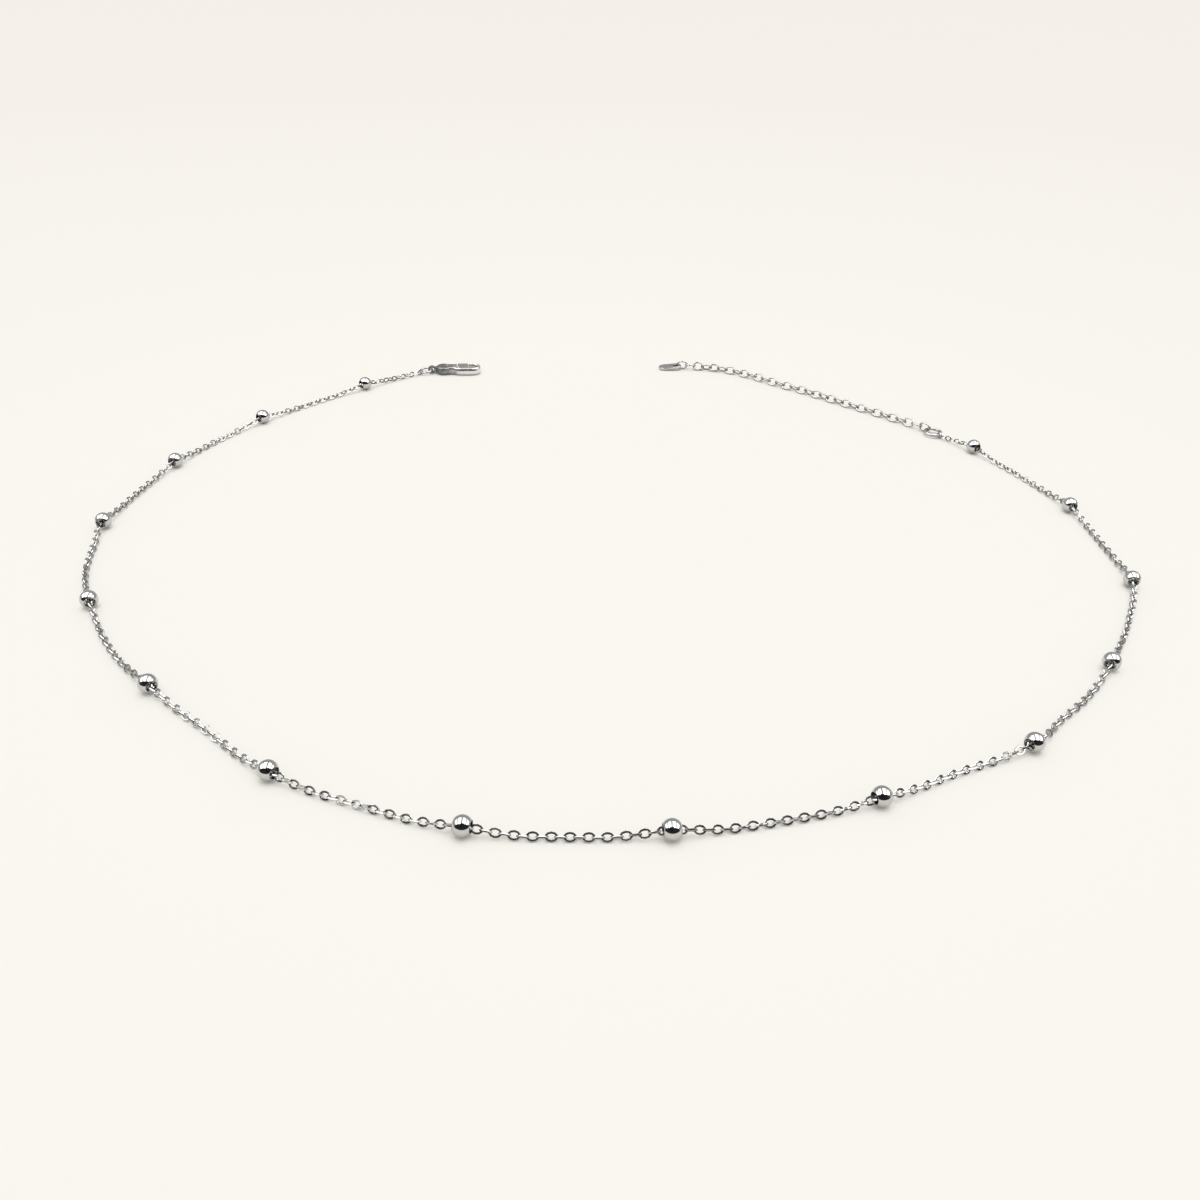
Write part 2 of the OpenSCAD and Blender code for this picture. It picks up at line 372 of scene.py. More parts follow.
def add_mesh(name, shape, material, place=None, facets=False):
    """Makes an object of a shape in millimetres, with its place in its mesh."""
    bmesh.ops.transform(shape, matrix=(place or Matrix()) @ Matrix.Scale(MM, 4), verts=shape.verts)
    mesh = bpy.data.meshes.new(name)
    shape.to_mesh(mesh)
    shape.free()
    if not facets:
        mesh.shade_smooth()
    mesh.materials.append(material)
    made = bpy.data.objects.new(name, mesh)
    bpy.context.scene.collection.objects.link(made)
    return made


def add_piece(name, shape, material, body, nodes, place=None, facets=False):
    """Makes a piece that stands for nodes of the frame and moves with a body."""
    made = add_mesh(name, shape, material, place, facets)
    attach(made, body)
    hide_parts(*nodes)
    return made


def link_shape(settings, stations, sides):
    """One oval link, with painted shade on the inside of its ends, where its neighbours meet it."""
    wire = settings.wire / MM
    reach = settings.link_length / MM - wire
    width = settings.link_width / MM - wire
    shape = bmesh.new()
    closed_wire(shape, oval(stations, reach, width), sides, wire, wire)

    def shaded_where_links_meet(place):
        # Painted shade where the neighbours meet: dark from three fifths of the way to the link's end on, and
        # most on the wire's inner side
        endwards = abs(place.x) / (reach / 2)
        inwards = 1 - Vector((place.x / reach, place.y / width)).length * 2
        return 2.2 * (endwards - 0.6) * (0.5 + inwards / wire)

    note_corners(shape, shaded_where_links_meet)
    return shape


def lay_links(settings, shape, route, stops, height_at, roll_at):
    """Joins copies of a link along a route: every second one is turned a quarter round."""
    template = bpy.data.meshes.new("link")
    shape.to_mesh(template)
    shape.free()
    chance = random.Random(settings.seed)
    reach = settings.link_length / 2
    joined = bmesh.new()
    for number in range(stops[-1][0] + 1):
        distance = between(stops, number)
        near, far = (
            route.at(distance + side * reach) + Vector((0, 0, height_at(distance + side * reach)))
            for side in (-1, 1)
        )
        way = (far - near).normalized()
        side = Vector((0, 0, 1)).cross(way).normalized()
        up = way.cross(side)
        middle = route.at(distance) / MM
        middle.z = height_at(distance) / MM
        place = Matrix.Translation(middle) @ Matrix((way, side, up)).transposed().to_4x4()
        place @= turn(roll_at(number, distance) + chance.gauss(0, ROLL_SPREAD), "X")
        place @= turn(chance.gauss(0, SWAY_SPREAD), "Z")
        link = template.copy()
        link.transform(place)
        # A link that dips into the surface is lifted onto it
        lowest = min(corner.co.z for corner in link.vertices)
        link.transform(Matrix.Translation((0, 0, max(0, -lowest))))
        joined.from_mesh(link)
        bpy.data.meshes.remove(link)
    bpy.data.meshes.remove(template)
    return joined


def lying_height(settings, twist):
    """Height of a chain's middle on the surface: its lower side wires rest on it."""
    half = (settings.link_width - settings.wire) / 2
    return settings.wire / 2 + half * math.sin(math.radians(LEAN + abs(twist)))


def bead_shape(radius, settings):
    """A round bead on the x axis, hollow where its hole is, with a rounded lip at each mouth."""
    hole = settings.hole / MM / 2
    lean = math.asin(hole / radius)
    shape = bmesh.new()
    first = shape.verts.new((-radius * math.cos(lean), 0, radius * math.sin(lean)))
    bmesh.ops.spin(
        shape, geom=[first], axis=(0, 1, 0), cent=(0, 0, 0), angle=math.pi - 2 * lean, steps=26
    )
    mouths = [corner for corner in shape.verts if len(corner.link_edges) == 1]
    shape.edges.new(mouths)
    bmesh.ops.bevel(
        shape, geom=mouths, offset=settings.lip / MM, segments=4, profile=0.5, affect="VERTICES",
        material=-1,
    )
    bore = max(shape.edges, key=lambda edge: edge.calc_length())
    bmesh.ops.subdivide_edges(shape, edges=[bore], cuts=3)
    bmesh.ops.spin(
        shape, geom=shape.verts[:] + shape.edges[:], axis=(1, 0, 0), cent=(0, 0, 0), angle=math.tau,
        steps=56, use_merge=True,
    )
    bmesh.ops.remove_doubles(shape, verts=shape.verts, dist=0.0001)
    bmesh.ops.recalc_face_normals(shape, faces=shape.faces)
    # Painted shade inside the hole and within a tenth of a millimetre of its edge, where the metal is also
    # duller
    note_corners(shape, lambda place: 0.4 - (Vector((place.y, place.z)).length - hole) / 0.2)
    return shape


# Finishes


class Value:
    """A number in a shader, so that sums on it can be written as Python expressions."""

    def __init__(self, shade, socket):
        self.shade, self.socket = shade, socket

    def sum(self, operation, first, second):
        return self.shade.node("ShaderNodeMath", {"operation": operation}, {0: first, 1: second})

    def __add__(self, other):
        return self.sum("ADD", self, other)

    def __radd__(self, other):
        return self.sum("ADD", other, self)

    def __mul__(self, other):
        return self.sum("MULTIPLY", self, other)

    def __rmul__(self, other):
        return self.sum("MULTIPLY", other, self)


class Shade:
    """A material, and the nodes that are added to it."""

    def __init__(self, name):
        self.material = bpy.data.materials.new(name)
        self.material.use_nodes = True
        self.tree = self.material.node_tree
        self.shader = self.tree.nodes["Principled BSDF"]
        self.place = self.node("ShaderNodeTexCoord", {}, {}, "Object")

    def node(self, kind, settings, inputs, output=0):
        """Adds a node, sets it up, fills its sockets with values or links, and returns one output."""
        made = self.tree.nodes.new(kind)
        for name, setting in settings.items():
            if name == "stops":
                ramp = made.color_ramp.elements
                ramp[0].position, ramp[1].position = setting[0][0], setting[-1][0]
                for position, _ in setting[1:-1]:
                    ramp.new(position)
                for element, (_, grey) in zip(ramp, setting):
                    element.color = (grey, grey, grey, 1)
            else:
                setattr(made, name, setting)
        for key, given in inputs.items():
            self.fill(made.inputs[key], given)
        return Value(self, made.outputs[output])

    def fill(self, socket, given):
        if isinstance(given, Value):
            self.tree.links.new(given.socket, socket)
        else:
            socket.default_value = given

    def noise(self, size, detail=3, place=None):
        """Cloudy pattern from 0 to 1, with clouds of about the size given in metres."""
        return self.node(
            "ShaderNodeTexNoise", {}, {"Vector": place or self.place, "Scale": 1 / size, "Detail": detail}
        )

    def ramp(self, value, *stops):
        return self.node("ShaderNodeValToRGB", {"stops": stops}, {"Fac": value})

    def scratches(self, size, angle):
        """Fine lines in one direction, from a pattern that is drawn out along it."""
        drawn = self.node(
            "ShaderNodeMapping", {}, {"Vector": self.place, "Rotation": angle, "Scale": (1, 0.05, 0.4)}
        )
        return self.ramp(self.noise(size, 2, drawn), (0.62, 0), (0.72, 1))

    def mix(self, factor, first, second):
        inputs = {0: factor, 6: first, 7: second}
        return self.node("ShaderNodeMix", {"data_type": "RGBA"}, inputs, 2)


def metal(name, finish, base, roughness, grain=0.0):
    """Polished metal with smudges and hairline scratches, dark where its corners are noted for tarnish and
    painted shade.
    """
    shade = Shade(name)
    # Smudges of about 2 mm, scratches a tenth of a millimetre apart, and a casting's grain
    smudges = shade.noise(0.0022, 4)
    lines = shade.scratches(0.00012, (0.4, 0.3, 0.9)) + shade.scratches(0.00009, (1.1, 0.2, 2.3))
    cast = shade.noise(0.00022, 5)
    noted = shade.node("ShaderNodeAttribute", {"attribute_name": "tarnish"}, {}, "Fac")
    if grain:
        # Painted shade and tarnish in a casting's crevices, where the surface bends inwards
        bend = shade.node("ShaderNodeNewGeometry", {}, {}, "Pointiness")
        noted = noted + shade.ramp(bend, (0.4, 0.7), (0.475, 0))
    # The noted darkness: tarnish, and painted shade in holes, crevices and where links meet
    dark = noted * (0.55 + 0.6 * smudges)
    tone = shade.mix(smudges, (*(0.94 * part for part in base), 1), (*base, 1))
    shade.fill(shade.shader.inputs["Base Color"], shade.mix(dark, tone, (*finish.tarnish, 1)))
    shade.fill(shade.shader.inputs["Metallic"], 1.0)
    rough = roughness + 0.05 * smudges + 0.05 * lines + 0.16 * dark + grain * 0.2 * cast
    shade.fill(shade.shader.inputs["Roughness"], rough)
    height = lines * -0.12 + grain * cast
    bump = shade.node(
        "ShaderNodeBump", {}, {"Height": height, "Strength": 0.5, "Distance": 0.00001}, "Normal"
    )
    shade.fill(shade.shader.inputs["Normal"], bump)
    return shade.material


# Pieces


def make_fine_chain(scene):
    settings, finish = scene.necklace_chain, scene.necklace_finish
    route = Route(ROUTE)

    def height(distance):
        lying = lying_height(settings, route.twist_at(distance))
        away = max(0, min(abs(distance - bead) for bead in route.beads) - settings.mouth)
        fall = min(1, away / (settings.drop - settings.mouth))
        return lying + (settings.bead_height - lying) * (1 - fall) ** SAG

    def roll(number, distance):
        return (LEAN if number % 2 == 0 else -LEAN) + route.twist_at(distance)

    shape = lay_links(settings, link_shape(settings, 10, 7), route, FINE_STOPS, height, roll)
    material = metal("fine_chain_metal", finish, finish.links, finish.polish + 0.03)
    add_piece("fine_links", shape, material, "necklace", ["chain"], facets=True)


def make_extension(scene):
    settings, finish = scene.necklace_extension, scene.necklace_finish
    route = Route(EXTENSION_ROUTE)

    def height(distance):
        return lying_height(settings, route.twist_at(distance))

    def roll(number, distance):
        return (-LEAN if number % 2 == 0 else LEAN) - route.twist_at(distance)

    shape = lay_links(settings, link_shape(settings, 24, 10), route, EXTENSION_STOPS, height, roll)
    material = metal("extension_metal", finish, finish.links, finish.polish + 0.03)
    add_piece("extension_links", shape, material, "necklace", ["extension_chain"])


def make_beads(scene):
    settings, finish = scene.necklace_beads, scene.necklace_finish
    material = metal("bead_metal", finish, finish.silver, finish.polish)
    for number in range(1, BEAD_COUNT + 1):
        node = f"bead_{number:02d}"
        i = next(i for i, point in enumerate(ROUTE) if point[2] == number)
        way = Vector(ROUTE[i + 1][:2]) - Vector(ROUTE[i - 1][:2])
        low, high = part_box(node)
        place = Matrix.Translation((*ROUTE[i][:2], (low[2] + high[2]) / 2))
        place @= turn(math.degrees(math.atan2(way.y, way.x)), "Z")
        radius = (high[2] - low[2]) / 2 / MM
        add_piece(
            f"round_{node}", bead_shape(radius, settings), material, "necklace", [node], place
        )


def ring_shape(outside, wire, gap=0.0):
    """A ring of round wire in the x-y plane, closed, or with a fine cut across it at +x."""
    radius = (outside - wire) / 2
    away = gap / radius / 2
    shape = bmesh.new()
    bmesh.ops.create_circle(
        shape, segments=16, radius=wire / 2, cap_ends=gap > 0,
        matrix=turn(math.degrees(away), "Z") @ Matrix.Translation((radius, 0, 0)) @ turn(90, "X"),
    )
    start = shape.verts[:] + shape.edges[:] + shape.faces[:]
    bmesh.ops.spin(
        shape, geom=start, axis=(0, 0, 1), cent=(0, 0, 0), angle=math.tau - 2 * away, steps=64,
        use_merge=not gap,
    )
    bmesh.ops.remove_doubles(shape, verts=shape.verts, dist=0.0001)
    bmesh.ops.recalc_face_normals(shape, faces=shape.faces)
    if gap:
        rims = [edge for edge in shape.edges if any(len(face.verts) > 4 for face in edge.link_faces)]
        bmesh.ops.bevel(
            shape, geom=rims, offset=gap, segments=2, profile=0.5, affect="EDGES", material=-1
        )
    # Painted shade: darker on the ring's inner side, and a little darker all round
    note_corners(shape, lambda place: 0.25 * (radius - Vector(place[:2]).length) / wire + 0.1)
    return shape


def make_rings(scene):
    settings, finish = scene.necklace_rings, scene.necklace_finish
    material = metal("ring_metal", finish, finish.silver, finish.polish + 0.04)
    outside, wire = settings.clasp_ring / MM, settings.clasp_ring_wire / MM
    reach = (settings.clasp_ring - settings.clasp_ring_wire) / 2
    place = Matrix.Translation(CLASP_EYE) @ turn(CLASP_RING_TURN, "Z") @ turn(-CLASP_RING_TILT, "Y")
    place @= Matrix.Translation((-reach, 0, 0))
    add_piece(
        "small_ring", ring_shape(outside, wire), material, "necklace", ["clasp_ring"], place
    )
    outside, wire = settings.joining_ring / MM, settings.joining_ring_wire / MM
    place = Matrix.Translation(JOINING_RING) @ turn(JOINING_RING_TURN, "Z") @ turn(-JOINING_RING_TILT, "Y")
    shape = ring_shape(outside, wire, settings.seam / MM)
    bmesh.ops.rotate(shape, verts=shape.verts, cent=(0, 0, 0), matrix=turn(SEAM_TURN, "Z").to_3x3())
    add_piece("split_ring", shape, material, "necklace", ["joining_ring"], place)


def stadium(shape, low_x, high_x, width, low_z, high_z, segments=40):
    """Adds a long round-ended block between two x places and two heights, and returns its corners."""
    made = bmesh.ops.create_cone(
        shape, cap_ends=True, segments=segments, radius1=width / 2, radius2=width / 2,
        depth=high_z - low_z,
        matrix=Matrix.Translation((low_x + width / 2, 0, (low_z + high_z) / 2)) @ turn(180 / segments, "Z"),
    )["verts"]
    far = [corner for corner in made if corner.co.x > low_x + width / 2]
    bmesh.ops.translate(shape, verts=far, vec=(high_x - low_x - width, 0, 0))
    return made


def block(shape, low, high):
    """Adds a block between two corners, and returns its corners."""
    size = Vector(high) - Vector(low)
    place = Matrix.Translation((Vector(low) + Vector(high)) / 2) @ Matrix.Diagonal((*size, 1))
    return bmesh.ops.create_cube(shape, size=1, matrix=place)["verts"]


def round_edges(shape, corners, offset):
    """Rounds the sharp edges between the given corners."""
    chosen = set(corners)
    sharp = [
        edge for edge in shape.edges
        if chosen.issuperset(edge.verts) and edge.calc_face_angle(0) > math.radians(60)
    ]
    bmesh.ops.bevel(
        shape, geom=sharp, offset=offset, segments=4, profile=0.5, affect="EDGES", material=-1,
        clamp_overlap=True,
    )


def cast_shape(parts, cuts, cell, rounds):
    """Grows overlapping parts into one skin, cuts it, and smooths every edge as on a cast piece."""
    made = bpy.data.objects.new("casting", bpy.data.meshes.new("casting"))
    parts.to_mesh(made.data)
    parts.free()
    bpy.context.scene.collection.objects.link(made)
    made.modifiers.new("skin", "REMESH").voxel_size = cell
    cutter = None
    if cuts:
        cutter = bpy.data.objects.new("cutter", bpy.data.meshes.new("cutter"))
        cuts.to_mesh(cutter.data)
        cuts.free()
        bpy.context.scene.collection.objects.link(cutter)
        cut = made.modifiers.new("cut", "BOOLEAN")
        cut.object, cut.operation, cut.use_self = cutter, "DIFFERENCE", True
        made.modifiers.new("skin again", "REMESH").voxel_size = cell
    graph = bpy.context.evaluated_depsgraph_get()
    skin = bpy.data.meshes.new_from_object(made.evaluated_get(graph))
    shape = bmesh.new()
    shape.from_mesh(skin)
    for _ in range(rounds):
        bmesh.ops.smooth_vert(
            shape, verts=shape.verts, factor=0.5, use_axis_x=True, use_axis_y=True, use_axis_z=True
        )
    for thing in (made, cutter):
        if thing:
            mesh = thing.data
            bpy.data.objects.remove(thing)
            bpy.data.meshes.remove(mesh)
    bpy.data.meshes.remove(skin)
    return shape


def rubbed_bright(place):
    """The clasp is dull round its hinge and rubbed bright along the claw."""
    return 1 - (place.x - DULL_X) / FADE_RUN


def clasp_parts(thick, wide, wall, upright):
    """Overlapping parts of the clasp's body: the claw's bar, the lobe, the waist, the neck and the eye."""
    parts = bmesh.new()
    # The claw's bar is an oval round the opening
    bar = wide - wall
    bend = [math.radians(-90 + 180 * i / 12) for i in range(13)]
    far_x, near_x = TIP_X - wide / 2, CLAW_X + wide / 2
    middle = thick / 2
    loop = [Vector((far_x + bar / 2 * math.cos(t), bar / 2 * math.sin(t), middle)) for t in bend]
    loop += [Vector((near_x - bar / 2 * math.cos(t), -bar / 2 * math.sin(t), middle)) for t in bend]
    # The flats between the bar's corners, and not the corners, lie on its outline
    outward = 1 / math.cos(math.pi / BAR_SIDES)
    closed_wire(parts, loop, BAR_SIDES, wall * outward, (thick - BAR_INSET) * outward)
    round_edges(parts, stadium(parts, *LOBE_X, LOBE_WIDTH, 0, thick), offset=0.6)
    half = WAIST_WIDTH / 2
    round_edges(parts, block(parts, (WAIST_X[0], -half, 0), (WAIST_X[1], half, thick)), offset=0.55)
    half = EYE_WIDTH / 2
    low, high = (NECK_X[0], -half, NECK_INSET), (NECK_X[1], half, thick - NECK_INSET)
    round_edges(parts, block(parts, low, high), offset=0.25)
    # The eye stands on edge
    eye = bmesh.ops.create_cone(
        parts, cap_ends=True, segments=40, radius1=thick / 2, radius2=thick / 2, depth=EYE_WIDTH,
        matrix=upright,
    )
    round_edges(parts, eye["verts"], offset=0.2)
    return parts


def joined_corners(start):
    """All corners that edges join to one corner, and the corner itself."""
    found, queue = {start}, [start]
    while queue:
        for edge in queue.pop().link_edges:
            for corner in edge.verts:
                if corner not in found:
                    found.add(corner)
                    queue.append(corner)
    return found


def clasp_cuts(thick, wide, wall, pin, upright, at_pivot):
    """What is cut away: the eye's hole, the opening, the lever's slot and room, and the pin's hole."""
    # How far the cuts run past the top and the bottom, and past the lever's side
    past, past_side = 1, 3
    cuts = bmesh.new()
    bmesh.ops.create_cone(
        cuts, cap_ends=True, segments=40, radius1=EYE_HOLE / 2, radius2=EYE_HOLE / 2, depth=3,
        matrix=upright,
    )
    stadium(cuts, OPENING_X, TIP_X - wall, wide - 2 * wall, -past, thick + past)
    block(cuts, (SLOT_X[0], SLOT_Y, SLOT_Z[0]), (SLOT_X[1], past_side, SLOT_Z[1]))
    block(cuts, (BEND_CUT_X[0], BEND_CUT_Y, -past), (BEND_CUT_X[1], past_side, thick + past))
    bmesh.ops.create_cone(
        cuts, cap_ends=True, segments=32, radius1=pin / 2 + PIN_PLAY, radius2=pin / 2 + PIN_PLAY, depth=4,
        matrix=at_pivot,
    )
    # Room for the lever's arm: a round about the pivot, kept where the arm swings
    room = set(bmesh.ops.create_cone(
        cuts, cap_ends=True, segments=96, radius1=ARM_ROOM, radius2=ARM_ROOM, depth=4, matrix=at_pivot
    )["verts"])
    for corner, away in (((OPENING_X, 0, 0), (-1, 0, 0)), ((0, ARM_ROOM_Y, 0), (0, -1, 0))):
        geom = [*room]
        geom += {edge for vert in room for edge in vert.link_edges}
        geom += {face for vert in room for face in vert.link_faces}
        kept = bmesh.ops.bisect_plane(
            cuts, geom=geom, plane_co=corner, plane_no=away, clear_outer=True
        )
        rim = [part for part in kept["geom_cut"] if isinstance(part, bmesh.types.BMEdge)]
        filled = bmesh.ops.edgeloop_fill(cuts, edges=rim)["faces"]
        room = joined_corners(filled[0].verts[0])
    bmesh.ops.recalc_face_normals(cuts, faces=cuts.faces)
    return cuts


def make_clasp(scene):
    settings, finish = scene.necklace_clasp, scene.necklace_finish
    thick, wide, wall = settings.thickness / MM, settings.claw_width / MM, settings.wall / MM
    pin, cell = settings.pin / MM, settings.grain / MM
    upright = Matrix.Translation((0, 0, thick / 2)) @ turn(90, "X")
    at_pivot = Matrix.Translation((*PIVOT, thick / 2))
    parts = clasp_parts(thick, wide, wall, upright)
    cuts = clasp_cuts(thick, wide, wall, pin, upright, at_pivot)

    material = metal("cast_metal", finish, finish.cast, finish.polish + 0.08, grain=0.8)
    shape = cast_shape(parts, cuts, cell, 7)
    note_corners(shape, rubbed_bright)
    add_piece(
        "claw_body", shape, material, "necklace", ["clasp_body"], clasp_place()
    )

    # The lever keeps the frame's shape, with its edges rounded
    lever = bmesh.new()
    lever.from_mesh(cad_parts["clasp_lever"].data)
    bmesh.ops.remove_doubles(lever, verts=lever.verts, dist=0.000001)
    to_plan = Matrix.Scale(1 / MM, 4) @ clasp_place().inverted()
    bmesh.ops.transform(lever, matrix=to_plan, verts=lever.verts)
    shape = cast_shape(lever, None, cell * 0.75, 9)
    note_corners(shape, rubbed_bright)
    add_piece(
        "claw_lever", shape, material, "lever", ["clasp_lever"], clasp_place()
    )

    shape = bmesh.new()
    made = bmesh.ops.create_cone(
        shape, cap_ends=True, segments=32, radius1=pin / 2, radius2=pin / 2, depth=thick, matrix=at_pivot
    )
    round_edges(shape, made["verts"], offset=0.14)
    note_corners(shape, lambda place: 0.2)
    polished = metal("pin_metal", finish, finish.silver, finish.polish + 0.05)
    add_piece("lever_pin", shape, polished, "necklace", ["clasp_pin"], clasp_place())


def make_tag(scene):
    settings, finish = scene.necklace_tag, scene.necklace_finish
    long, wide = settings.length / MM, settings.width / MM
    thick, hole = settings.thickness / MM, settings.hole / MM / 2
    far_x = wide / 2 - long
    shape = bmesh.new()
    steps = 48
    half_step = turn(180 / steps, "Z")
    outline = bmesh.ops.create_circle(shape, segments=steps, radius=wide / 2, matrix=half_step)["verts"]
    far = [corner for corner in outline if corner.co.x < 0]
    bmesh.ops.translate(shape, verts=far, vec=(wide - long, 0, 0))
    bmesh.ops.create_circle(shape, segments=steps, radius=hole, matrix=half_step)
    bmesh.ops.bridge_loops(shape, edges=shape.edges)
    flat = shape.faces[:]
    top = bmesh.ops.extrude_face_region(shape, geom=flat, use_keep_orig=True)["geom"]
    bmesh.ops.translate(
        shape, verts=[part for part in top if isinstance(part, bmesh.types.BMVert)], vec=(0, 0, thick)
    )
    bmesh.ops.recalc_face_normals(shape, faces=shape.faces)
    sharp = [side for side in shape.edges if side.calc_face_angle(0) > math.radians(60)]
    bmesh.ops.bevel(
        shape, geom=sharp, offset=settings.edge / MM, segments=4, profile=0.5, affect="EDGES", material=-1
    )
    # Painted shade in the hole and close round it, where the metal is also duller
    note_corners(shape, lambda place: 0.9 - (Vector(place[:2]).length - hole) / 0.3)
    # The far end stays on the surface as the hole's end is lifted
    place = Matrix.Translation(TAG_HOLE) @ turn(TAG_TURN, "Z") @ Matrix.Translation((far_x * MM, 0, 0))
    place @= turn(-TAG_TILT, "Y") @ Matrix.Translation((-far_x * MM, 0, 0))
    material = metal("tag_metal", finish, finish.silver, finish.polish + 0.15)
    add_piece("oval_tag", shape, material, "necklace", ["end_tag"], place)


# Stage


def add_reflected(name, shape, strength, far_share=1.0, place=None):
    """Makes a card that only reflections see. Its light falls to a share of it at its far end."""
    shade = Shade(name)
    y = shade.node("ShaderNodeSeparateXYZ", {}, {0: shade.place}, "Y")
    fade = shade.ramp(y + 0.4, (0.0, 1), (1.0, far_share))
    for socket, given in (
        ("Base Color", (0, 0, 0, 1)),
        ("Specular IOR Level", 0.0),
        ("Emission Color", fade),
        ("Emission Strength", strength),
    ):
        shade.fill(shade.shader.inputs[socket], given)
    shade.material.cycles.emission_sampling = "NONE"
    made = add_mesh(name, shape, shade.material, place)
    made.visible_camera = made.visible_diffuse = made.visible_shadow = False
    made.visible_transmission = made.visible_volume_scatter = False


def camera_place(settings):
    place = Matrix.Translation(settings.place) @ turn(90 - math.degrees(settings.down), "X")
    return place @ turn(math.degrees(settings.roll), "Z")


def make_stage(scene):
    settings, finish = scene.necklace_stage, scene.necklace_finish

    # Surface, a hair below the lowest metal
    shade = Shade("pale_surface")
    cloud = shade.noise(0.35, 2)
    dark = (*(0.985 * part for part in finish.surface), 1)
    # Painted shade: the surface darkens with the distance from its middle, as falling light would darken it
    away = shade.node("ShaderNodeVectorMath", {"operation": "LENGTH"}, {0: shade.place}, "Value")
    far = shade.ramp(away * 0.5, (0.05, 0), (0.1, 0.35), (0.26, 1))
    near_tone = shade.mix(cloud, dark, (*finish.surface, 1))
    painted_falloff_tone = (0.9 * finish.surface[0], 0.855 * finish.surface[1], 0.88 * finish.surface[2], 1)
    shade.fill(shade.shader.inputs["Base Color"], shade.mix(far, near_tone, painted_falloff_tone))
    shade.fill(shade.shader.inputs["Roughness"], 0.85)
    shade.fill(shade.shader.inputs["Specular IOR Level"], 0.1)
    shape = bmesh.new()
    bmesh.ops.create_grid(
        shape, x_segments=8, y_segments=8, size=7000, matrix=Matrix.Translation((0, 0, -0.02))
    )
    add_mesh("pale_surface", shape, shade.material)

    # What the metal mirrors: a grey room, bright strips overhead, a dark wall behind the camera, the camera.
    # Their places are in millimetres
    shape = bmesh.new()
    bmesh.ops.create_uvsphere(shape, u_segments=48, v_segments=24, radius=4000)
    bmesh.ops.bisect_plane(
        shape, geom=shape.verts[:] + shape.edges[:] + shape.faces[:], plane_co=(0, 0, -1),
        plane_no=(0, 0, -1), clear_outer=True,
    )
    add_reflected("grey_room", shape, 0.5)
    shape = bmesh.new()
    for left, right in ((-1300, -620), (-470, -110), (40, 400), (560, 1300)):
        block(shape, (left, -430, 600), (right, 420, 602))
    add_reflected("bright_strips", shape, 3.6, 0.6)
    shape = bmesh.new()
    block(shape, (-2600, -702, 0), (2600, -700, 1080))
    add_reflected("dark_card", shape, 0.03)
    shape = bmesh.new()
    block(shape, (-60, -80, 6), (60, 80, 8))
    add_reflected("dark_camera", shape, 0.02, place=camera_place(settings))

    # Even light from all round, and a broad window high up and a little to the back
    world = bpy.data.worlds.new("even_light")
    world.use_nodes = True
    sky = world.node_tree.nodes["Background"].inputs
    sky["Color"].default_value = (1, 0.981, 0.95, 1)
    sky["Strength"].default_value = settings.sky
    scene.world = world

    window = bpy.data.objects.new("broad_window", bpy.data.lights.new("broad_window", "SUN"))
    window.data.energy, window.data.angle = settings.window, math.radians(60)
    window.data.color = (1, 1, 0.99)
    window.rotation_euler = Vector((0.03, 0.14, 1)).to_track_quat("Z", "Y").to_euler()
    window.visible_glossy = window.visible_camera = False
    scene.collection.objects.link(window)

    camera = bpy.data.objects.new("camera", bpy.data.cameras.new("camera"))
    camera.data.lens = settings.lens
    camera.data.clip_start, camera.data.clip_end = 0.01, 30
    camera.matrix_world = camera_place(settings)
    scene.collection.objects.link(camera)
    scene.camera = camera

    view = scene.view_settings
    view.view_transform, view.look, view.use_curve_mapping = "Standard", "None", True
    for curve, surface_tone in zip(view.curve_mapping.curves, SURFACE_TONE):
        for share, lifted in LIGHT_TONES:
            curve.points.new(share * surface_tone, lifted * surface_tone)
    view.curve_mapping.update()


class NECKLACE_OT_stage(bpy.types.Operator):
    """Makes the pale surface, the light, what the metal mirrors, and the camera"""

    bl_idname = "necklace.stage"
    bl_label = "Stage"
    bl_options = {"REGISTER", "UNDO"}

    def execute(self, context):
        make_stage(context.scene)
        return {"FINISHED"}


class NECKLACE_OT_fine_chain(bpy.types.Operator):
    """Makes the fine chain's links along their route, through the beads"""

    bl_idname = "necklace.fine_chain"
    bl_label = "Fine chain"
    bl_options = {"REGISTER", "UNDO"}

    def execute(self, context):
        make_fine_chain(context.scene)
        return {"FINISHED"}


class NECKLACE_OT_beads(bpy.types.Operator):
    """Makes the round beads on the fine chain"""

    bl_idname = "necklace.beads"
    bl_label = "Beads"
    bl_options = {"REGISTER", "UNDO"}

    def execute(self, context):
        make_beads(context.scene)
        return {"FINISHED"}


class NECKLACE_OT_clasp(bpy.types.Operator):
    """Makes the clasp's cast body, its lever and its pin"""

    bl_idname = "necklace.clasp"
    bl_label = "Clasp"
    bl_options = {"REGISTER", "UNDO"}

    def execute(self, context):
        make_clasp(context.scene)
        return {"FINISHED"}


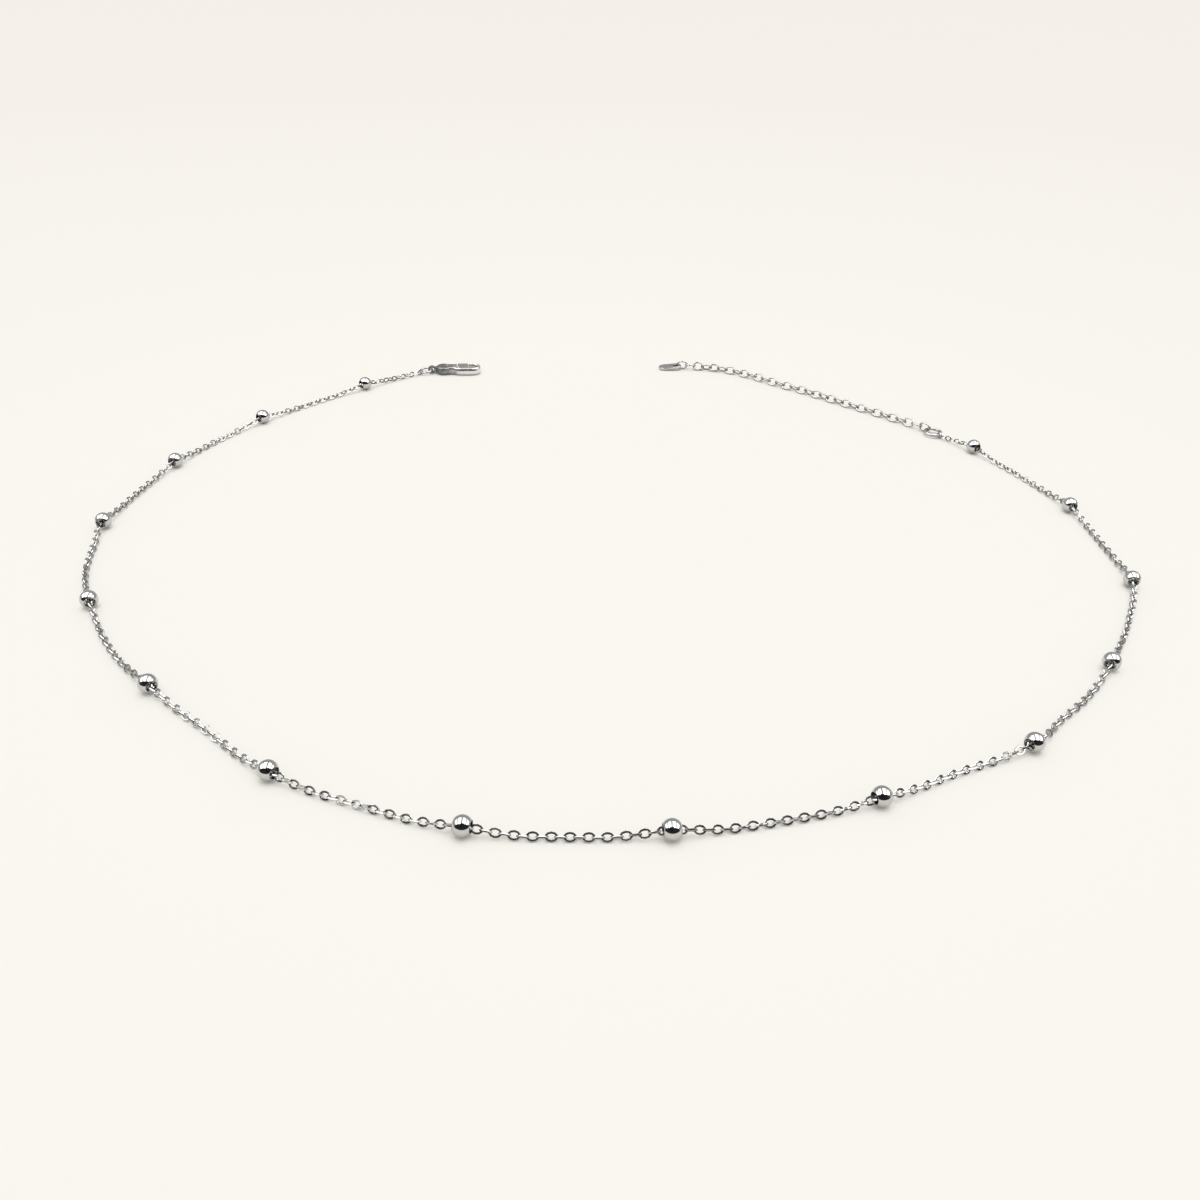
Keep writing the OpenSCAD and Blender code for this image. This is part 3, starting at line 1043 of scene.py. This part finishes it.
class NECKLACE_OT_rings(bpy.types.Operator):
    """Makes the small ring in the clasp's eye and the ring between the chains"""

    bl_idname = "necklace.rings"
    bl_label = "Rings"
    bl_options = {"REGISTER", "UNDO"}

    def execute(self, context):
        make_rings(context.scene)
        return {"FINISHED"}


class NECKLACE_OT_extension(bpy.types.Operator):
    """Makes the coarser links of the extension chain"""

    bl_idname = "necklace.extension"
    bl_label = "Extension chain"
    bl_options = {"REGISTER", "UNDO"}

    def execute(self, context):
        make_extension(context.scene)
        return {"FINISHED"}


class NECKLACE_OT_tag(bpy.types.Operator):
    """Makes the bare oval tag at the extension's end"""

    bl_idname = "necklace.tag"
    bl_label = "End tag"
    bl_options = {"REGISTER", "UNDO"}

    def execute(self, context):
        make_tag(context.scene)
        return {"FINISHED"}


OPERATORS = (
    NECKLACE_OT_stage,
    NECKLACE_OT_fine_chain,
    NECKLACE_OT_beads,
    NECKLACE_OT_clasp,
    NECKLACE_OT_rings,
    NECKLACE_OT_extension,
    NECKLACE_OT_tag,
)


class NECKLACE_PT_panel(bpy.types.Panel):
    """Lists the necklace's pieces and their sizes"""

    bl_idname = "NECKLACE_PT_panel"
    bl_label = "Necklace"
    bl_space_type = "VIEW_3D"
    bl_region_type = "UI"
    bl_category = "Necklace"

    def draw(self, context):
        for operator in OPERATORS:
            self.layout.operator(operator.bl_idname)
        for name, group in SETTINGS:
            box = self.layout.box()
            box.label(text=group.__name__.removesuffix("Settings"))
            for setting in group.__annotations__:
                box.prop(getattr(context.scene, name), setting)


def register():
    for name, group in SETTINGS:
        bpy.utils.register_class(group)
        setattr(bpy.types.Scene, name, PointerProperty(type=group))
    for made in (*OPERATORS, NECKLACE_PT_panel):
        bpy.utils.register_class(made)


def unregister():
    for made in reversed((*OPERATORS, NECKLACE_PT_panel)):
        bpy.utils.unregister_class(made)
    for name, group in reversed(SETTINGS):
        delattr(bpy.types.Scene, name)
        bpy.utils.unregister_class(group)


def main():
    register()
    bpy.ops.necklace.stage()
    bpy.ops.necklace.fine_chain()
    bpy.ops.necklace.beads()
    bpy.ops.necklace.clasp()
    bpy.ops.necklace.rings()
    bpy.ops.necklace.extension()
    bpy.ops.necklace.tag()


if __name__ == "__main__":
    main()
